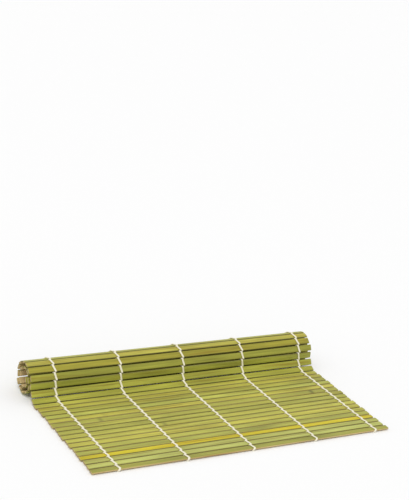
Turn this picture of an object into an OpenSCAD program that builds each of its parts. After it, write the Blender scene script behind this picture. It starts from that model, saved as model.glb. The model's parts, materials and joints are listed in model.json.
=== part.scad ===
// Sushi rolling mat: bamboo slats bound by five doubled threads, its far half rolled up underneath.
// Origin at the middle of the box's bottom. X runs along the slats, Y from the flat front edge to
// the roll, Z up. Slat 1 is the front edge and slat 41 lies innermost in the roll.

/* [Slats] */
// Length of the longest slat (mm)
slat_length = 240; // [120:1:400]
// Width of a slat across the mat (mm)
slat_width = 4.85; // [4:0.05:8]
// Thickness of a slat (mm)
slat_thick = 1.5; // [1:0.1:3]
// Bevel along the slat's four long edges (mm)
slat_bevel = 0.45; // [0.1:0.05:0.6]
// Gap between two flat slats, where the threads cross (mm)
slat_gap = 1; // [0.9:0.05:2]
// Most that a slat's end falls short of the longest slat (mm)
end_scatter = 1.2; // [0:0.1:4]

/* [Threads] */
// Distance between neighbouring strings (mm)
string_pitch = 52; // [20:1:90]
// Middle string's place right of the slats' middle (mm)
string_shift = 3.6; // [-10:0.1:10]
// Width of a thread pressed flat on a slat (mm)
thread_wide = 1.15; // [0.5:0.05:2]
// Height of a thread pressed flat on a slat (mm)
thread_high = 0.7; // [0.3:0.05:1]
// Thickness of a thread squeezed in a gap, across the gap (mm)
thread_squeezed = 0.48; // [0.3:0.02:0.6]
// Width of a thread in a gap, along the slats (mm)
thread_in_gap = 0.84; // [0.4:0.02:1]
// Distance between the two threads where they cross in a gap (mm)
thread_apart = 1.3; // [0.8:0.05:2]
// Clearance between a thread and a slat (mm)
thread_clear = 0.06; // [0.04:0.01:0.2]
// Radius of the knot that ends a string (mm)
knot_radius = 1; // [0.6:0.1:2]

/* [Roll] */
// Radius at the roll's innermost gap (mm)
core_radius = 6; // [5.5:0.1:20]
// Radial distance from one turn of the roll to the next (mm)
turn_spacing = 4; // [3.8:0.1:5]

/* [Hidden] */
slat_count = 41;
// Slats that lie flat on the table, in front of the roll.
flat_count = 17;
// Upward bends at the foot of the roll's front, one per gap, in degrees.
foot_angles = [25, 36, 27];
string_count = 5;
// Sides of a thread's section.
sides = 6;
// Shares that spread the slats' ends without a pattern that shows.
right_share = 0.618;
left_share = 0.382;
// Share of the crossing offset that a thread keeps on top of a slat.
slant_share = 0.6;
// Least distance from a gap's middle to the thread's ring on a slat.
least_reach = 0.3;
// More room for that ring on the inside of a bend.
bend_room = 0.1;

pitch = slat_width + slat_gap;
// Middle of a thread above or below the middle of its slat.
thread_lift = slat_thick / 2 + thread_clear + thread_high / 2;
// Height of the flat slats' middle: the threads below them rest on the table.
rest_height = slat_thick / 2 + thread_clear + thread_high;

WOOD = [0.73, 0.71, 0.36];
THREAD = [0.93, 0.9, 0.78];

// Bend at gap k, between slats k and k + 1. Up is positive.
function bend(k) =
    k < 1 || k >= slat_count || k < flat_count ? 0
    : k < flat_count + len(foot_angles) ? foot_angles[k - flat_count]
    : -roll_bend(k - flat_count - len(foot_angles));

// Bend that keeps the chain on a spiral, whose radius shrinks by turn_spacing in each turn.
// The steps count inwards from the foot, and the last one lies at core_radius.
last_step = slat_count - 1 - flat_count - len(foot_angles);
function roll_bend(step) =
    let (laid = turn_spacing * pitch * (last_step - step) / PI)
    2 * asin(pitch / 2 / sqrt(pow(core_radius, 2) + laid));

// Direction of each slat in the YZ plane, in degrees.
headings = [
    for (k = 1, h = 0; k <= slat_count; h = h + bend(k), k = k + 1) h
];
function heading(k) = headings[k - 1];
function forward(k) = [cos(heading(k)), sin(heading(k))];
function upward(k) = [-sin(heading(k)), cos(heading(k))];

// Middle of each gap, from the front edge of slat 1 to the back edge of slat 41.
gaps = [
    for (
        k = 0, p = [0, rest_height];
        k <= slat_count;
        k = k + 1, p = k > slat_count ? p : p + pitch * forward(k)
    ) p
];
function middle(k) = (gaps[k - 1] + gaps[k]) / 2;

// Point on slat k's own axes: along towards the next slat, and up from its middle.
function on_slat(k, along, up) = middle(k) + along * forward(k) + up * upward(k);

// Each thread goes over one slat and under the next, and the two take turns.
function over(k, strand) = (k + strand) % 2 == 0 ? 1 : -1;

// Distance from gap g to the thread's ring on a slat beside it, more on the inside of a bend.
function reach(g, side) =
    max(least_reach, side * bend(g) > 0 ? thread_lift * tan(abs(bend(g)) / 2) + bend_room : 0);

// A ring is [x, [y, z], width, height]. This one lies on slat k, at the end that faces gap g.
function slat_ring(k, g, strand) =
    let (
        side = over(k, strand),
        end = g == k ? 1 : -1,
        edge = slat_width / 2,
        along = g == 0 || g == slat_count ? edge - bend_room : pitch / 2 - reach(g, side)
    )
    [-end * side * slant_share * thread_apart / 2,
     on_slat(k, end * along, side * thread_lift), thread_wide, thread_high];

// In a gap the thread turns through the middle, beside the other thread.
function gap_ring(g, strand) =
    [-over(g, strand) * thread_apart / 2, gaps[g], thread_in_gap, thread_squeezed];

// At the front the thread turns round the edge of slat 1 and goes back as the other strand.
loop_out = slat_width / 2 + thread_clear + thread_high / 2;
loop_up = slat_thick * 0.3;
function loop_ring(strand) =
    [over(1, strand) * slant_share * thread_apart / 6,
     on_slat(1, -loop_out, over(1, strand) * loop_up), thread_wide, thread_high];

// At the back each strand dips towards the knot and stops just short of it.
knot_out = slat_width / 2 + 0.25 + knot_radius;
tail_out = slat_width / 2 + 0.12;
tail_up = slat_thick / 2;
function tail_ring(strand) =
    [over(slat_count, strand) * slant_share * thread_apart / -2,
     on_slat(slat_count, tail_out, over(slat_count, strand) * tail_up),
     thread_in_gap, thread_squeezed];

// One unbroken thread: in from the tail, round the front edge and back to the tail.
rings = concat(
    [tail_ring(0)],
    [
        for (k = [slat_count:-1:1], part = [0:2])
            if (part < 2 || k > 1)
                part == 0 ? slat_ring(k, k, 0)
                : part == 1 ? slat_ring(k, k - 1, 0)
                : gap_ring(k - 1, 0)
    ],
    [loop_ring(0), loop_ring(1)],
    [
        for (k = [1:slat_count], part = [0:2])
            if (part < 2 || k < slat_count)
                part == 0 ? slat_ring(k, k - 1, 1)
                : part == 1 ? slat_ring(k, k, 1)
                : gap_ring(k, 1)
    ],
    [tail_ring(1)]
);

function unit(v) = v / norm(v);
// Direction of the thread in the YZ plane at ring i, halfway between its two stretches.
function run(i) =
    let (
        here = rings[i][1],
        back = i > 0 ? unit(here - rings[i - 1][1]) : [0, 0],
        on = i < len(rings) - 1 ? unit(rings[i + 1][1] - here) : [0, 0]
    )
    unit(back + on);

// Corners of all the rings, with each section across the thread's run.
thread_points = [
    for (i = [0:len(rings) - 1])
        let (r = rings[i], t = run(i), n = [-t[1], t[0]])
        for (a = [0:sides - 1])
            let (
                angle = 360 * (a + 0.5) / sides,
                across = r[2] / 2 * cos(angle),
                rise = r[3] / 2 * sin(angle)
            )
            [r[0] + across, r[1][0] + n[0] * rise, r[1][1] + n[1] * rise]
];

// Skin between the rings, as triangles, with a cap at each end.
function corner(i, a) = i * sides + a % sides;
thread_faces = concat(
    [
        for (i = [0:len(rings) - 2], a = [0:sides - 1], half = [0, 1])
            half == 0
                ? [corner(i, a), corner(i + 1, a), corner(i + 1, a + 1)]
                : [corner(i, a), corner(i + 1, a + 1), corner(i, a + 1)]
    ],
    [[for (a = [0:sides - 1]) corner(0, a)]],
    [[for (a = [sides - 1:-1:0]) corner(len(rings) - 1, a)]]
);

// The box's middle in Y, which becomes the origin.
depths = [for (p = thread_points) p[1]];
depth_middle = (min(depths) + max(depths)) / 2;

function string_x(i) = string_shift + (i - (string_count + 1) / 2) * string_pitch;
function share(k, step) = (k - 1) * step - floor((k - 1) * step);

module slat_outline() {
    wide = slat_width / 2;
    high = slat_thick / 2;
    b = slat_bevel;
    polygon([
        [-wide, b - high], [b - wide, -high], [wide - b, -high], [wide, b - high],
        [wide, high - b], [wide - b, high], [b - wide, high], [-wide, high - b]
    ]);
}

module at_slat(k) {
    translate([0, middle(k)[0] - depth_middle, middle(k)[1]])
        rotate([heading(k), 0, 0])
            children();
}

module slat(k) {
    left = slat_length / 2 - end_scatter * share(k, left_share);
    right = slat_length / 2 - end_scatter * share(k, right_share);
    color(WOOD)
        at_slat(k)
            translate([-left, 0, 0])
                rotate([90, 0, 90])
                    linear_extrude(height = left + right)
                        slat_outline();
}

module string(i) {
    color(THREAD)
        translate([string_x(i), -depth_middle, 0])
            polyhedron(points = thread_points, faces = thread_faces, convexity = 10);
}

module tail_knots() {
    color(THREAD)
        for (i = [1:string_count])
            at_slat(slat_count)
                translate([string_x(i), knot_out, 0])
                    sphere(r = knot_radius, $fn = 12);
}

module slat_01() {
    slat(1);
}

module slat_02() {
    slat(2);
}

module slat_03() {
    slat(3);
}

module slat_04() {
    slat(4);
}

module slat_05() {
    slat(5);
}

module slat_06() {
    slat(6);
}

module slat_07() {
    slat(7);
}

module slat_08() {
    slat(8);
}

module slat_09() {
    slat(9);
}

module slat_10() {
    slat(10);
}

module slat_11() {
    slat(11);
}

module slat_12() {
    slat(12);
}

module slat_13() {
    slat(13);
}

module slat_14() {
    slat(14);
}

module slat_15() {
    slat(15);
}

module slat_16() {
    slat(16);
}

module slat_17() {
    slat(17);
}

module slat_18() {
    slat(18);
}

module slat_19() {
    slat(19);
}

module slat_20() {
    slat(20);
}

module slat_21() {
    slat(21);
}

module slat_22() {
    slat(22);
}

module slat_23() {
    slat(23);
}

module slat_24() {
    slat(24);
}

module slat_25() {
    slat(25);
}

module slat_26() {
    slat(26);
}

module slat_27() {
    slat(27);
}

module slat_28() {
    slat(28);
}

module slat_29() {
    slat(29);
}

module slat_30() {
    slat(30);
}

module slat_31() {
    slat(31);
}

module slat_32() {
    slat(32);
}

module slat_33() {
    slat(33);
}

module slat_34() {
    slat(34);
}

module slat_35() {
    slat(35);
}

module slat_36() {
    slat(36);
}

module slat_37() {
    slat(37);
}

module slat_38() {
    slat(38);
}

module slat_39() {
    slat(39);
}

module slat_40() {
    slat(40);
}

module slat_41() {
    slat(41);
}

module string_1() {
    string(1);
}

module string_2() {
    string(2);
}

module string_3() {
    string(3);
}

module string_4() {
    string(4);
}

module string_5() {
    string(5);
}

slat_01();
slat_02();
slat_03();
slat_04();
slat_05();
slat_06();
slat_07();
slat_08();
slat_09();
slat_10();
slat_11();
slat_12();
slat_13();
slat_14();
slat_15();
slat_16();
slat_17();
slat_18();
slat_19();
slat_20();
slat_21();
slat_22();
slat_23();
slat_24();
slat_25();
slat_26();
slat_27();
slat_28();
slat_29();
slat_30();
slat_31();
slat_32();
slat_33();
slat_34();
slat_35();
slat_36();
slat_37();
slat_38();
slat_39();
slat_40();
slat_41();
string_1();
string_2();
string_3();
string_4();
string_5();
tail_knots();
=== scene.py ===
"""Sushi rolling mat: bamboo slats and twisted cotton threads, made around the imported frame."""

import json
import math

import bpy
import numpy as np
from mathutils import Matrix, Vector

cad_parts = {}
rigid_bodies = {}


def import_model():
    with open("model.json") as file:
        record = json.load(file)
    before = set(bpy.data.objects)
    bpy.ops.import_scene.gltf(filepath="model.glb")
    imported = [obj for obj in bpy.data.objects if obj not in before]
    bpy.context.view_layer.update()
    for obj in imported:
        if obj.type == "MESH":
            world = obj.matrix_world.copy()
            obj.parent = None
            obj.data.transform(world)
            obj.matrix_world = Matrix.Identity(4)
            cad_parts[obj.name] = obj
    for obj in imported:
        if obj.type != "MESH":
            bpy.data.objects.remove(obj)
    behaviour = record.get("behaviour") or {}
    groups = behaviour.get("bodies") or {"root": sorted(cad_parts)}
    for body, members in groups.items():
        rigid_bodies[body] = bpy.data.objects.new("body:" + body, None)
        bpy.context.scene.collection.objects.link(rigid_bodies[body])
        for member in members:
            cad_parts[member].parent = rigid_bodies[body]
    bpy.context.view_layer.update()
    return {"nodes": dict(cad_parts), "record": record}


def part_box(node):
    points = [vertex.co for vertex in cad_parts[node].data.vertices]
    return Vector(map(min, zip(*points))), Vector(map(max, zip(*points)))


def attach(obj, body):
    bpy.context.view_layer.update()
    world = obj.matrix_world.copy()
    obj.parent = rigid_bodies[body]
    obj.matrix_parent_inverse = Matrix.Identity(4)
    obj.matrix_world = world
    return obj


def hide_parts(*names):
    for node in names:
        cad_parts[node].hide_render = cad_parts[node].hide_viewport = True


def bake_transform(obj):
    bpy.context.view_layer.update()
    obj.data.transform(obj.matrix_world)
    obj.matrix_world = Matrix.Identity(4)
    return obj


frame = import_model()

bl_info = {
    "name": "Sushi Rolling Mat",
    "version": (1, 0, 0),
    "blender": (4, 5, 0),
    "location": "View3D > Sidebar > Mat",
    "description": "Bamboo slats, cotton threads and a pale stage for a half rolled sushi mat",
    "category": "Object",
}

MM = 0.001
SLATS = sorted(name for name in frame["nodes"] if name.startswith("slat_"))
STRINGS = sorted(name for name in frame["nodes"] if name.startswith("string_"))


# Places from the frame

def slat_middle(k):
    """Middle of slat k in the YZ plane, counted from 1 at the front edge."""
    low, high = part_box(SLATS[k - 1])
    return np.array([(low[1] + high[1]) / 2, (low[2] + high[2]) / 2])


def gap_middles():
    """Hinge of each gap in the YZ plane: the joints' places, and at both ends of the mat the
    last hinge mirrored through the middle of the outermost slat."""
    gaps = np.zeros((len(SLATS) + 1, 2))
    for joint in frame["record"]["behaviour"]["joints"]:
        k = 1 + min(SLATS.index(joint["parent"]), SLATS.index(joint["child"]))
        gaps[k] = joint["pos_m"][1:]
    gaps[0] = 2 * slat_middle(1) - gaps[1]
    gaps[-1] = 2 * slat_middle(len(SLATS)) - gaps[-2]
    return gaps


GAPS = gap_middles()
STEPS = np.diff(GAPS, axis=0)
PITCH = float(np.linalg.norm(STEPS[0]))
FORWARD = STEPS / np.linalg.norm(STEPS, axis=1)[:, None]
UPWARD = np.stack([-FORWARD[:, 1], FORWARD[:, 0]], axis=1)
SLAT_WIDE = float(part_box(SLATS[0])[1][1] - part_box(SLATS[0])[0][1])
SLAT_THICK = float(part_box(SLATS[0])[1][2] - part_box(SLATS[0])[0][2])
STRING_X = [float(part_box(name)[0][0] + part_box(name)[1][0]) / 2 for name in STRINGS]


def on_slat(k, along, up):
    """Points on slat k's own axes: its middle plus along times its forward direction plus up
    times its green side's direction."""
    middle = (GAPS[k - 1] + GAPS[k]) / 2
    along = np.asarray(along)[..., None]
    up = np.asarray(up)[..., None]
    return middle + along * FORWARD[k - 1] + up * UPWARD[k - 1]


def over(k, strand):
    """Which side of slat k a strand lies on: +1 on the green side, -1 on the other, in turns."""
    return 1 if (k + strand) % 2 == 0 else -1


# Settings

class MatSlatSettings(bpy.types.PropertyGroup):
    """Shape and colours of the bamboo slats."""

    squareness: bpy.props.FloatProperty(
        name="Squareness", description="Power of the rounded section, 2 is an ellipse",
        default=5.5, min=2.0, max=12.0)
    width_wobble: bpy.props.FloatProperty(
        name="Width wobble", description="How far a slat's long edges wander",
        default=0.12 * MM, min=0.0, max=0.4 * MM, unit="LENGTH", precision=5)
    node_height: bpy.props.FloatProperty(
        name="Node height", description="Height of a bamboo node's ring above the skin",
        default=0.1 * MM, min=0.0, max=0.4 * MM, unit="LENGTH", precision=5)
    skin: bpy.props.FloatVectorProperty(
        name="Skin", description="Usual colour of the green skin",
        default=(0.72, 0.71, 0.31), size=3, subtype="COLOR_GAMMA", min=0.0, max=1.0)
    rolled_skin: bpy.props.FloatVectorProperty(
        name="Rolled skin", description="Colour of the slats in the roll",
        default=(0.63, 0.63, 0.24), size=3, subtype="COLOR_GAMMA", min=0.0, max=1.0)
    pale_skin: bpy.props.FloatVectorProperty(
        name="Pale skin", description="Colour of the greyer slats near the front",
        default=(0.72, 0.73, 0.38), size=3, subtype="COLOR_GAMMA", min=0.0, max=1.0)
    yellow_skin: bpy.props.FloatVectorProperty(
        name="Yellow skin", description="Colour of the ripe yellow slat",
        default=(0.82, 0.77, 0.17), size=3, subtype="COLOR_GAMMA", min=0.0, max=1.0)
    flesh: bpy.props.FloatVectorProperty(
        name="Flesh", description="Colour of the slats' inner face and cut ends",
        default=(0.81, 0.72, 0.51), size=3, subtype="COLOR_GAMMA", min=0.0, max=1.0)


class MatThreadSettings(bpy.types.PropertyGroup):
    """Shape and colour of the cotton threads."""

    wide: bpy.props.FloatProperty(
        name="Width", description="Width of a thread on a slat",
        default=1.48 * MM, min=0.4 * MM, max=3 * MM, unit="LENGTH", precision=5)
    high: bpy.props.FloatProperty(
        name="Height", description="Height of a thread on a slat",
        default=0.76 * MM, min=0.3 * MM, max=2 * MM, unit="LENGTH", precision=5)
    gap_wide: bpy.props.FloatProperty(
        name="Width in a gap", description="Width of a thread where it crosses the other",
        default=0.9 * MM, min=0.3 * MM, max=2 * MM, unit="LENGTH", precision=5)
    gap_high: bpy.props.FloatProperty(
        name="Thickness in a gap", description="Thickness of a thread squeezed between slats",
        default=0.6 * MM, min=0.3 * MM, max=1 * MM, unit="LENGTH", precision=5)
    apart: bpy.props.FloatProperty(
        name="Strands apart", description="Distance between the strands in a gap",
        default=1.5 * MM, min=0.4 * MM, max=2 * MM, unit="LENGTH", precision=5)
    lift: bpy.props.FloatProperty(
        name="Lift", description="Middle of a thread above the middle of its slat",
        default=1.1 * MM, min=0.8 * MM, max=2 * MM, unit="LENGTH", precision=5)
    ply_depth: bpy.props.FloatProperty(
        name="Ply depth", description="Depth of the twist's grooves, as a share of the width",
        default=0.11, min=0.0, max=0.3)
    colour: bpy.props.FloatVectorProperty(
        name="Cotton", description="Colour of the threads",
        default=(0.99, 0.965, 0.87), size=3, subtype="COLOR_GAMMA", min=0.0, max=1.0)


class MatStageSettings(bpy.types.PropertyGroup):
    """Camera, floor and lamps."""

    camera_place: bpy.props.FloatVectorProperty(
        name="Camera", description="Where the camera stands",
        default=(-0.5004, -0.7731, 0.4513), size=3, subtype="TRANSLATION", unit="LENGTH")
    yaw: bpy.props.FloatProperty(
        name="Yaw", description="Turn of the view from +Y towards +X",
        default=math.radians(32.0), subtype="ANGLE")
    fall: bpy.props.FloatProperty(
        name="Fall", description="Angle of the view below the horizon",
        default=math.radians(19.7), subtype="ANGLE")
    tilt: bpy.props.FloatProperty(
        name="Tilt", description="Turn of the camera about its view",
        default=math.radians(8.0), subtype="ANGLE")
    lens: bpy.props.FloatProperty(
        name="Lens", description="Focal length in millimetres on a 36 mm frame",
        default=100.8, min=20.0, max=300.0)
    floor_size: bpy.props.FloatProperty(
        name="Floor", description="Side of the square floor",
        default=12.0, min=1.0, max=40.0, unit="LENGTH")


# Meshes and materials

def linear(colour):
    """Screen colour as scene colour: the sRGB curve undone."""
    c = np.asarray(colour, dtype=float)
    return np.where(c <= 0.04045, c / 12.92, ((c + 0.055) / 1.055) ** 2.4)


def make_piece(name, points, faces, material):
    """A smooth mesh object at the origin, from arrays of points and of faces."""
    mesh = bpy.data.meshes.new(name)
    mesh.from_pydata(points.tolist(), [], faces)
    mesh.validate()
    mesh.polygons.foreach_set("use_smooth", np.ones(len(mesh.polygons), dtype=bool))
    mesh.materials.append(material)
    mesh.update()
    piece = bpy.data.objects.new(name, mesh)
    bpy.context.scene.collection.objects.link(piece)
    return piece


def set_map(piece, name, coords):
    """A UV map from one (u, v) pair for each point."""
    mesh = piece.data
    corner = np.zeros(len(mesh.loops), dtype=np.int32)
    mesh.loops.foreach_get("vertex_index", corner)
    layer = mesh.uv_layers.new(name=name)
    layer.data.foreach_set("uv", np.ascontiguousarray(coords[corner], dtype=np.float32).ravel())


def set_values(piece, name, values):
    """A point attribute: one number, or one colour, for each point."""
    if values.ndim == 1:
        layer = piece.data.attributes.new(name, "FLOAT", "POINT")
        layer.data.foreach_set("value", values.astype(np.float32))
        return
    layer = piece.data.attributes.new(name, "FLOAT_COLOR", "POINT")
    full = np.concatenate([values, np.ones((len(values), 1))], axis=1)
    layer.data.foreach_set("color", full.astype(np.float32).ravel())


def tube_faces(rings, sides, first):
    """Faces of a closed tube of rings times sides points, whose two cap points come last: a quad
    from each point to the next on its ring and on the next ring, and a fan at each end."""
    start = first + sides * np.arange(rings - 1)[:, None]
    a = np.arange(sides)[None, :]
    b = (a + 1) % sides
    quads = np.stack([start + a, start + b, start + sides + b, start + sides + a], axis=2)
    near, far = first + rings * sides, first + rings * sides + 1
    last = first + (rings - 1) * sides
    a, b = a[0], b[0]
    fans = np.concatenate([
        np.stack([np.full(sides, near), first + b, first + a], axis=1),
        np.stack([np.full(sides, far), last + a, last + b], axis=1)])
    return quads.reshape(-1, 4).tolist() + fans.tolist()


class Graph:
    """A material's node tree, with short calls to add and join its nodes."""

    def __init__(self, name):
        self.material = bpy.data.materials.new(name)
        self.material.use_nodes = True
        self.tree = self.material.node_tree
        self.shader = self.tree.nodes["Principled BSDF"]

    def add(self, kind, **values):
        node = self.tree.nodes.new(kind)
        for key, value in values.items():
            setattr(node, key, value)
        return node

    def join(self, source, target):
        self.tree.links.new(source, target)

    def noise(self, coords, stretch, detail=4.0):
        """Noise on coords, which are first scaled by stretch."""
        mapping = self.add("ShaderNodeMapping")
        mapping.inputs["Scale"].default_value = stretch
        self.join(coords, mapping.inputs["Vector"])
        texture = self.add("ShaderNodeTexNoise")
        texture.inputs["Scale"].default_value = 1.0
        texture.inputs["Detail"].default_value = detail
        self.join(mapping.outputs["Vector"], texture.inputs["Vector"])
        return texture.outputs["Fac"]

    def spread(self, value, low, high):
        """A 0 to 1 value spread from low to high."""
        node = self.add("ShaderNodeMapRange")
        node.inputs["From Min"].default_value = 0.3
        node.inputs["From Max"].default_value = 0.7
        node.inputs["To Min"].default_value = low
        node.inputs["To Max"].default_value = high
        self.join(value, node.inputs["Value"])
        return node.outputs["Result"]

    def times(self, colour, value):
        """A colour made lighter or darker by a value."""
        node = self.add("ShaderNodeVectorMath", operation="SCALE")
        self.join(colour, node.inputs[0])
        self.join(value, node.inputs["Scale"])
        return node.outputs["Vector"]


def bamboo_material():
    """Split bamboo: the skin colour of each point with fibres along the slat, paler coarse flesh
    on the inner face and the cut ends, painted shade on the long sides and in the middles of the
    cut ends, and a waxy gloss on the skin only."""
    g = Graph("bamboo")
    uv = g.add("ShaderNodeUVMap", uv_map="grain").outputs["UV"]
    skin = g.add("ShaderNodeAttribute", attribute_name="skin").outputs["Color"]
    flesh = g.add("ShaderNodeAttribute", attribute_name="flesh").outputs["Fac"]
    fibres = g.noise(uv, (30.0, 3200.0, 1.0), detail=5.0)
    blotches = g.noise(uv, (28.0, 300.0, 1.0), detail=3.0)
    toned = g.times(g.times(skin, g.spread(fibres, 0.8, 1.15)), g.spread(blotches, 0.88, 1.1))
    streaks = g.noise(uv, (14.0, 1500.0, 1.0), detail=2.0)
    where = g.add("ShaderNodeMapRange")
    where.inputs["From Min"].default_value = 0.54
    where.inputs["From Max"].default_value = 0.72
    where.inputs["To Max"].default_value = 0.75
    g.join(streaks, where.inputs["Value"])
    browned = g.add("ShaderNodeMix", data_type="RGBA", blend_type="MULTIPLY")
    browned.inputs["B"].default_value = (0.62, 0.42, 0.22, 1.0)
    g.join(where.outputs["Result"], browned.inputs["Factor"])
    g.join(toned, browned.inputs["A"])
    g.join(browned.outputs["Result"], g.shader.inputs["Base Color"])
    rough = g.add("ShaderNodeMath", operation="MULTIPLY_ADD")
    rough.inputs[1].default_value = 0.25
    rough.inputs[2].default_value = 0.5
    g.join(flesh, rough.inputs[0])
    g.join(rough.outputs["Value"], g.shader.inputs["Roughness"])
    g.shader.inputs["Specular IOR Level"].default_value = 0.35
    bump = g.add("ShaderNodeBump")
    bump.inputs["Strength"].default_value = 0.35
    bump.inputs["Distance"].default_value = 0.08 * MM
    g.join(fibres, bump.inputs["Height"])
    g.join(bump.outputs["Normal"], g.shader.inputs["Normal"])
    return g.material


def cotton_material(colour):
    """Matt cotton: fine fibres along the ply, a soft fuzz, and painted shade that slightly darkens the
    twist's grooves.
    """
    g = Graph("cotton")
    uv = g.add("ShaderNodeUVMap", uv_map="lay").outputs["UV"]
    groove = g.add("ShaderNodeAttribute", attribute_name="groove").outputs["Fac"]
    fibres = g.noise(uv, (900.0, 6000.0, 1.0), detail=3.0)
    # Painted shade: points deep in the twist's grooves are darkened, down to 0.86 of the cotton colour.
    tone = g.add("ShaderNodeMapRange")
    tone.inputs["To Min"].default_value = 1.0
    tone.inputs["To Max"].default_value = 0.86
    g.join(groove, tone.inputs["Value"])
    base = g.add("ShaderNodeRGB")
    base.outputs[0].default_value = (*linear(colour), 1.0)
    shaded = g.times(base.outputs[0], tone.outputs["Result"])
    g.join(g.times(shaded, g.spread(fibres, 0.93, 1.04)), g.shader.inputs["Base Color"])
    g.shader.inputs["Roughness"].default_value = 0.9
    g.shader.inputs["Specular IOR Level"].default_value = 0.2
    g.shader.inputs["Sheen Weight"].default_value = 0.25
    bump = g.add("ShaderNodeBump")
    bump.inputs["Strength"].default_value = 0.4
    bump.inputs["Distance"].default_value = 0.05 * MM
    g.join(fibres, bump.inputs["Height"])
    g.join(bump.outputs["Normal"], g.shader.inputs["Normal"])
    return g.material


# Slats

FLAT_SLATS = int(np.argmax(FORWARD[:, 1] > 0.1))
YELLOW_SLAT = 4
PALE_SLATS = (2, 3)
DARK_SLAT = 1
OCHRE_SLAT = FLAT_SLATS + 5
# Painted light: the two rolled slats at the top of the roll face the lamp and get the brighter flat skin
# colour.
LIT_ROLLED_SLATS = (FLAT_SLATS + 6, FLAT_SLATS + 7)
KNOTTED_SLATS = (12, 13)
SEAM_STRAY = 0.24 * MM


def seam_shifts():
    """How far each seam of the flat part strays along the mat, so that the slats' widths differ.
    The yellow slat is the narrowest. The rolled part's seams stay at their hinges."""
    rng = np.random.RandomState(5)
    shifts = np.zeros(len(SLATS) + 1)
    shifts[1:FLAT_SLATS - 1] = rng.uniform(-SEAM_STRAY, SEAM_STRAY, FLAT_SLATS - 2)
    shifts[YELLOW_SLAT - 1:YELLOW_SLAT + 1] = SEAM_STRAY, -SEAM_STRAY
    return shifts


SEAMS = seam_shifts()


def wave(x, rng, waves, longest):
    """A slow wander along x from -1 to 1: a mean of sines with random length and phase."""
    lengths = longest / rng.uniform(1.0, 3.5, waves)
    phases = rng.uniform(0.0, 2 * math.pi, waves)
    return np.sin(2 * math.pi * x[:, None] / lengths + phases).mean(axis=1)


def slat_colour(k, x, settings, rng):
    """Skin colour along slat k: its own tone and slow patches. make_slat darkens a line at each node."""
    base = np.array(settings.skin if k <= FLAT_SLATS else settings.rolled_skin)
    if k in PALE_SLATS:
        base = np.array(settings.pale_skin)
    if k == YELLOW_SLAT:
        base = np.array(settings.yellow_skin)
    # Painted light: the top slats of the roll are drawn in the brighter flat skin, as if lit from above.
    if k in LIT_ROLLED_SLATS:
        base = np.array(settings.skin)
    tone = 1.0 + rng.normal(0.0, 0.045)
    if k == DARK_SLAT:
        tone = 0.9
    warm = rng.normal(0.0, 0.011) + (0.03 if k == OCHRE_SLAT else 0.0)
    patches = 0.06 * wave(x, rng, 4, 0.2)
    colour = base * (tone + patches)[:, None] + np.array([warm, 0.0, -warm])
    return np.clip(colour, 0.02, 0.98)


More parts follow.
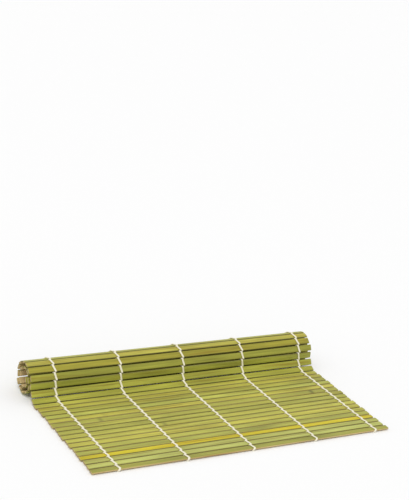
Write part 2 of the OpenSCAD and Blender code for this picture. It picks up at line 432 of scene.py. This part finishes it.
def make_slat(k, settings, material):
    """Slat k as a closed surface of x and an angle: a superellipse section, whose half width and
    sideways place wander slowly along x, drawn in at the cut ends, with a ring at each node."""
    rng = np.random.RandomState(100 + k)
    low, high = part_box(SLATS[k - 1])
    sides, stations = 28, 96
    end_round = 0.25 * MM
    inner = np.linspace(low[0] + end_round, high[0] - end_round, stations - 4)
    x = np.concatenate([
        [low[0], low[0] + end_round * 0.35], inner,
        [high[0] - end_round * 0.35, high[0]]])
    stations = len(x)
    draw_in = np.ones(stations)
    draw_in[[0, -1]] = 0.86
    draw_in[[1, -2]] = 0.96
    own_wide = SLAT_WIDE + SEAMS[k] - SEAMS[k - 1]
    wide = own_wide / 2 - settings.width_wobble * (1 + wave(x, rng, 3, 0.16)) / 2
    thick = np.full(stations, SLAT_THICK / 2 - 0.02 * MM)
    middle = (SEAMS[k] + SEAMS[k - 1]) / 2
    side = middle + settings.width_wobble * 0.5 * wave(x, rng, 2, 0.3)

    angle = 2 * math.pi * (np.arange(sides) + 0.5) / sides
    power = 2 / settings.squareness
    across = np.sign(np.cos(angle)) * np.abs(np.cos(angle)) ** power
    up = np.sign(np.sin(angle)) * np.abs(np.sin(angle)) ** power

    nodes = node_places(k, low[0], high[0], rng)
    ring = sum((np.exp(-((x - n) / (0.9 * MM)) ** 2) for n in nodes), np.zeros(stations))
    rise = settings.node_height * ring[:, None] * np.clip(up, 0, 1)[None, :]
    along = side[:, None] + wide[:, None] * draw_in[:, None] * across[None, :]
    height = thick[:, None] * draw_in[:, None] * up[None, :] - 0.08 * MM * (up > 0.5) + rise
    place = on_slat(k, along, height)
    points = np.concatenate([
        np.broadcast_to(x[:, None, None], along.shape + (1,)), place], axis=2).reshape(-1, 3)
    caps = np.array([[x[i], *on_slat(k, side[i], 0.0)] for i in (0, -1)])
    points = np.concatenate([points, caps])
    piece = make_piece(f"bamboo_slat_{k:02d}", points, tube_faces(stations, sides, 0), material)

    girth = (SLAT_WIDE + SLAT_THICK) * 2
    v = np.abs(np.arange(sides) / sides * 2 - 1) * girth / 2 + 0.05 * k
    uv = np.stack(np.broadcast_arrays(x[:, None], v[None, :]), axis=2).reshape(-1, 2)
    set_map(piece, "grain", np.concatenate([uv, [[x[0], v[0]], [x[-1], v[0]]]]))

    inside = np.broadcast_to(np.clip((0.8 - up) * 3, 0, 1)[None, :], along.shape).copy()
    inside[[0, -1]] = 1.0
    flesh = np.concatenate([inside.ravel(), [1.0, 1.0]])
    skin = slat_colour(k, x, settings, rng)
    dark = 1 - 0.3 * np.clip(ring, 0, 1)[:, None]
    skin = np.repeat((skin * dark)[:, None, :], sides, axis=1).reshape(-1, 3)
    skin = np.concatenate([skin, skin[:1], skin[-1:]])
    mixed = linear(skin) * (1 - flesh[:, None]) + linear(settings.flesh) * flesh[:, None]
    # Painted shade: the middle point of each cut end is darkened to 0.62, so the end faces grow darker
    # towards their middles.
    mixed[-2:] *= 0.62
    # Painted shade between the slats: the long sides facing the gaps are darkened by a random depth on
    # the flat part and by 0.55 in the roll. The shade is tinted green for light thrown back from the
    # skin. The front side of slat 1 stays unshaded.
    side_shade_depth = rng.uniform(0.2, 0.5) if k <= FLAT_SLATS else 0.55
    edge = side_shade_depth * np.clip(np.abs(across) * 8 - 7, 0, 1) * (np.abs(up) < 0.9)
    if k == 1:
        edge[across < 0] = 0.0
    shade = 1 - edge[:, None] * np.array([1.05, 0.92, 1.2])
    mixed[:-2] *= np.tile(shade, (stations, 1))
    set_values(piece, "skin", mixed)
    set_values(piece, "flesh", flesh)
    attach(piece, SLATS[k - 1])
    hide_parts(SLATS[k - 1])


def node_places(k, low, high, rng):
    """Where the bamboo's nodes cross a slat. Most slats have none, as they are cut between."""
    places = []
    if k in KNOTTED_SLATS:
        places.append(STRING_X[0] + (0.35 + 0.12 * (k - KNOTTED_SLATS[0])) * (STRING_X[1] - STRING_X[0]))
    if rng.uniform() < 0.12:
        places.append(rng.uniform(low + 0.02, high - 0.02))
    return places


# Threads

SIDES = 12
PLIES = 3
RINGS_PER_STRETCH = 12
LAY_STEP = 10 * MM


def smooth_path(knots, tangents):
    """A smooth path through knots: cubic stretches that leave and reach each knot along its
    tangent, sampled evenly in their parameter, with the last knot once at the end."""
    t = np.linspace(0, 1, RINGS_PER_STRETCH, endpoint=False)[None, :, None]
    p0, p1 = knots[:-1, None], knots[1:, None]
    m0, m1 = tangents[:-1, None], tangents[1:, None]
    path = (
        (2 * t**3 - 3 * t**2 + 1) * p0 + (t**3 - 2 * t**2 + t) * m0
        + (3 * t**2 - 2 * t**3) * p1 + (t**3 - t**2) * m1)
    return np.concatenate([path.reshape(-1, knots.shape[1]), knots[-1:]])


def path_tangents(points):
    """Direction at each knot: the mean of both neighbouring stretches' directions, half as long
    as the shorter stretch, so that the path doesn't bulge."""
    steps = np.diff(points, axis=0)
    size = np.linalg.norm(steps, axis=1)
    unit = steps / size[:, None]
    mean = np.concatenate([unit[:1], unit[:-1] + unit[1:], unit[-1:]])
    mean /= np.linalg.norm(mean, axis=1)[:, None]
    least = np.concatenate([size[:1], np.minimum(size[:-1], size[1:]), size[-1:]])
    return mean * least[:, None] * 0.6


def thread_tube(knots, turns, settings):
    """A twisted thread along a path. knots has one row (x, y, z, width, height) for each knot.
    The section is an ellipse whose radius swells by the cosine of its angle times the number of
    plies less the twist, which turns a whole number of times, so that joined pieces meet.
    Returns points, a (u, v) for each and how deep in a groove each lies."""
    knots = np.asarray(knots, dtype=float)
    tangents = np.concatenate([path_tangents(knots[:, :3]), np.zeros((len(knots), 2))], axis=1)
    rings = smooth_path(knots, tangents)
    centre, size = rings[:, :3], rings[:, 3:]
    run = np.gradient(centre, axis=0)
    run /= np.linalg.norm(run, axis=1)[:, None]
    across = np.array([1.0, 0.0, 0.0]) - run * run[:, :1]
    across /= np.linalg.norm(across, axis=1)[:, None]
    rise = np.cross(across, run)
    length = np.concatenate([[0], np.cumsum(np.linalg.norm(np.diff(centre, axis=0), axis=1))])
    angle = 2 * math.pi * np.arange(SIDES) / SIDES
    twist = 2 * math.pi * turns * length / length[-1]
    ply = np.cos(PLIES * angle[None, :] - twist[:, None])
    radius = 1 + settings.ply_depth * ply
    side = (size[:, :1] / 2) * np.cos(angle)[None, :] * radius
    lift = (size[:, 1:] / 2) * np.sin(angle)[None, :] * radius
    skin = centre[:, None] + side[..., None] * across[:, None] + lift[..., None] * rise[:, None]
    points = np.concatenate([skin.reshape(-1, 3), centre[:1], centre[-1:]])
    v = np.abs(angle / math.pi - 1) * settings.wide
    uv = np.stack(np.broadcast_arrays(length[:, None], v[None, :]), axis=2).reshape(-1, 2)
    uv = np.concatenate([uv, uv[:1], uv[-1:]])
    groove = np.concatenate([((1 - ply) / 2).ravel() ** 2, [0.5, 0.5]])
    return points, uv, groove, len(centre)


def make_threads(name, tubes, settings, material):
    """One piece from several tubes, each copied to every string's place along X."""
    points, maps, grooves, faces = [], [], [], []
    count = 0
    for x in STRING_X:
        for tube, uv, groove, rings in tubes:
            points.append(tube + np.array([x, 0.0, 0.0]))
            maps.append(uv + np.array([LAY_STEP * len(maps), 0.0]))
            grooves.append(groove)
            faces += tube_faces(rings, SIDES, count)
            count += len(tube)
    piece = make_piece(name, np.concatenate(points), faces, material)
    set_map(piece, "lay", np.concatenate(maps))
    set_values(piece, "groove", np.concatenate(grooves))
    return piece


def bend_angle(k):
    """Signed bend at gap k, from slat k's direction to slat k + 1's."""
    a, b = FORWARD[k - 1], FORWARD[k]
    return math.atan2(a[0] * b[1] - a[1] * b[0], a @ b)


def reach(k, side, settings):
    """Distance from gap k to where the thread leaves the slat's face, more inside a bend."""
    bend = bend_angle(k)
    inside = settings.lift * math.tan(abs(bend) / 2) + 0.1 * MM if side * bend > 0 else 0.0
    return max(0.35 * MM, inside)


def knot_row(x, place, wide, high):
    """One knot of a path: x, the place in the YZ plane, and the section's size."""
    return [x, place[0], place[1], wide, high]


def gap_strand(k, strand, settings):
    """Path of a strand from the middle of slat k, down or up through gap k beside the other
    strand, to the middle of slat k + 1 on its other side."""
    s = over(k, strand)
    half = settings.apart / 2
    lift = s * settings.lift
    seam = SEAMS[k]
    near = PITCH / 2 - reach(k, s, settings) + seam
    far = PITCH / 2 - reach(k, -s, settings) - seam
    wide, high = settings.wide, settings.high
    return [
        knot_row(0.0, on_slat(k, 0.0, lift), wide, high),
        knot_row(-s * half * 0.75, on_slat(k, near, lift * 0.98), wide, high),
        knot_row(-s * half, GAPS[k] + seam * FORWARD[k], settings.gap_wide, settings.gap_high),
        knot_row(-s * half * 0.75, on_slat(k + 1, -far, -lift * 0.98), wide, high),
        knot_row(0.0, on_slat(k + 1, 0.0, -lift), wide, high),
    ]


def front_loop(settings):
    """Path from the green side of slat 1 round its front edge to the other side."""
    s = over(1, 0)
    half = settings.apart / 2
    lift = s * settings.lift
    edge = SLAT_WIDE / 2
    out = edge + settings.high / 2 + 0.02 * MM
    wide, high = settings.wide, settings.high
    return [
        knot_row(0.0, on_slat(1, 0.0, lift), wide, high),
        knot_row(s * half * 0.75, on_slat(1, 0.2 * MM - edge, lift), wide, high),
        knot_row(s * half * 0.3, on_slat(1, -out, lift * 0.42), wide * 1.1, high * 1.1),
        knot_row(-s * half * 0.3, on_slat(1, -out, -lift * 0.42), wide * 1.1, high * 1.1),
        knot_row(-s * half * 0.75, on_slat(1, 0.2 * MM - edge, -lift), wide, high),
        knot_row(0.0, on_slat(1, 0.0, -lift), wide, high),
    ]


def tail_strand(strand, settings):
    """Path of a strand from the middle of the last slat over its back edge into the knot."""
    last = len(SLATS)
    s = over(last, strand)
    edge = SLAT_WIDE / 2
    return [
        knot_row(0.0, on_slat(last, 0.0, s * settings.lift), settings.wide, settings.high),
        knot_row(-s * settings.apart * 0.3, on_slat(last, edge - 0.1 * MM, s * settings.lift),
                 settings.wide, settings.high),
        knot_row(-s * settings.apart * 0.1, on_slat(last, edge + 0.9 * MM, s * 0.2 * MM),
                 settings.gap_wide, settings.gap_high),
    ]


def overhand_knot(settings):
    """The knot behind the last slat: a trefoil, (sin t + 2 sin 2t, cos t - 2 cos 2t, -sin 3t)
    divided by three, as large as the knot's CAD solid."""
    last = len(SLATS)
    low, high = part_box("tail_knots")
    radius = min(high[1] - low[1], high[2] - low[2]) / 2
    out = SLAT_WIDE / 2 + 0.25 * MM + radius
    swell = (radius - settings.gap_high / 2) * 0.95
    t = np.linspace(0, 2 * math.pi, 25)
    x = (np.sin(t) + 2 * np.sin(2 * t)) / 3 * swell
    along = (np.cos(t) - 2 * np.cos(2 * t)) / 3 * swell
    up = -np.sin(3 * t) / 3 * swell
    place = on_slat(last, out + along, up)
    return [knot_row(x[i], place[i], settings.gap_high, settings.gap_high) for i in range(len(t))]


# Operators

class MAT_OT_slats(bpy.types.Operator):
    """Make the bamboo slats, each in the place of its CAD slat"""

    bl_idname = "mat.slats"
    bl_label = "Bamboo Slats"

    def execute(self, context):
        settings = context.scene.mat_slats
        material = bamboo_material()
        for k in range(1, len(SLATS) + 1):
            make_slat(k, settings, material)
        return {"FINISHED"}


class MAT_OT_threads(bpy.types.Operator):
    """Make the twisted cotton threads, with a piece for each gap shaped to its bend"""

    bl_idname = "mat.threads"
    bl_label = "Cotton Threads"

    def execute(self, context):
        settings = context.scene.mat_threads
        material = cotton_material(settings.colour)
        gap_turns, loop_turns, tail_turns, knot_turns = 7, 7, 3, 8
        for k in range(1, len(SLATS)):
            tubes = [thread_tube(gap_strand(k, s, settings), gap_turns, settings) for s in (0, 1)]
            piece = make_threads(f"thread_gap_{k:02d}", tubes, settings, material)
            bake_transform(piece)
            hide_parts(*STRINGS)
        loops = [thread_tube(front_loop(settings), loop_turns, settings)]
        piece = make_threads("thread_front_loops", loops, settings, material)
        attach(piece, SLATS[0])
        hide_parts(*STRINGS)
        tails = [thread_tube(tail_strand(s, settings), tail_turns, settings) for s in (0, 1)]
        tails.append(thread_tube(overhand_knot(settings), knot_turns, settings))
        piece = make_threads("thread_tails", tails, settings, material)
        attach(piece, SLATS[-1])
        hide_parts(*STRINGS, "tail_knots")
        return {"FINISHED"}


class MAT_OT_stage(bpy.types.Operator):
    """Make the pale floor, the soft lamps and the camera"""

    bl_idname = "mat.stage"
    bl_label = "Stage"

    def execute(self, context):
        settings = context.scene.mat_stage
        scene = context.scene
        scene.view_settings.view_transform = "Standard"
        half = settings.floor_size / 2
        corners = np.array([[-half, -half, 0], [half, -half, 0], [half, half, 0], [-half, half, 0]])
        g = Graph("floor")
        g.shader.inputs["Base Color"].default_value = (0.98, 0.98, 0.98, 1.0)
        g.shader.inputs["Roughness"].default_value = 0.9
        g.shader.inputs["Specular IOR Level"].default_value = 0.1
        floor = make_piece("floor", corners, [(0, 1, 2, 3)], g.material)

        world = bpy.data.worlds.new("pale_room")
        scene.world = world
        world.use_nodes = True
        world.node_tree.nodes["Background"].inputs["Color"].default_value = (1, 1, 1, 1)
        world.node_tree.nodes["Background"].inputs["Strength"].default_value = 0.7

        add_sun("window", (-0.5, -0.6, 1.5), math.radians(25), 1.1)
        add_camera(settings)
        return {"FINISHED"}


def add_sun(name, place, width, strength):
    """A sun as wide as a window, which shines from place towards the origin."""
    lamp = bpy.data.lights.new(name, "SUN")
    lamp.angle = width
    lamp.energy = strength
    holder = bpy.data.objects.new(name, lamp)
    back = np.array(place) / np.linalg.norm(place)
    right = np.cross([0.0, 0.0, 1.0], back)
    right /= np.linalg.norm(right)
    up = np.cross(back, right)
    turn = Matrix(np.column_stack([right, up, back]).tolist()).to_4x4()
    holder.matrix_world = Matrix.Translation(place) @ turn
    bpy.context.scene.collection.objects.link(holder)


def add_camera(settings):
    """A camera that looks along yaw and fall, then turns about its own view by tilt."""
    yaw, fall, tilt = settings.yaw, settings.fall, settings.tilt
    view = np.array([
        math.sin(yaw) * math.cos(fall), math.cos(yaw) * math.cos(fall), -math.sin(fall)])
    right = np.array([math.cos(yaw), -math.sin(yaw), 0.0])
    up = np.cross(right, view)
    turned_right = right * math.cos(tilt) + up * math.sin(tilt)
    turned_up = up * math.cos(tilt) - right * math.sin(tilt)
    data = bpy.data.cameras.new("camera")
    data.lens = settings.lens
    data.sensor_width = 36.0
    data.clip_start = 0.05
    holder = bpy.data.objects.new("camera", data)
    turn = Matrix(np.column_stack([turned_right, turned_up, -view]).tolist()).to_4x4()
    holder.matrix_world = Matrix.Translation(settings.camera_place) @ turn
    bpy.context.scene.collection.objects.link(holder)
    bpy.context.scene.camera = holder


class MAT_PT_panel(bpy.types.Panel):
    """The mat's operators and settings"""

    bl_idname = "MAT_PT_panel"
    bl_label = "Sushi Rolling Mat"
    bl_space_type = "VIEW_3D"
    bl_region_type = "UI"
    bl_category = "Mat"

    def draw(self, context):
        groups = (
            ("mat.stage", context.scene.mat_stage),
            ("mat.slats", context.scene.mat_slats),
            ("mat.threads", context.scene.mat_threads),
        )
        for operator, settings in groups:
            box = self.layout.box()
            box.operator(operator)
            for name in settings.__annotations__:
                box.prop(settings, name)


CLASSES = (
    MatSlatSettings, MatThreadSettings, MatStageSettings,
    MAT_OT_slats, MAT_OT_threads, MAT_OT_stage, MAT_PT_panel,
)


def register():
    for cls in CLASSES:
        bpy.utils.register_class(cls)
    bpy.types.Scene.mat_slats = bpy.props.PointerProperty(type=MatSlatSettings)
    bpy.types.Scene.mat_threads = bpy.props.PointerProperty(type=MatThreadSettings)
    bpy.types.Scene.mat_stage = bpy.props.PointerProperty(type=MatStageSettings)


def unregister():
    del bpy.types.Scene.mat_slats
    del bpy.types.Scene.mat_threads
    del bpy.types.Scene.mat_stage
    for cls in reversed(CLASSES):
        bpy.utils.unregister_class(cls)


def main():
    register()
    bpy.ops.mat.stage()
    bpy.ops.mat.slats()
    bpy.ops.mat.threads()


if __name__ == "__main__":
    main()
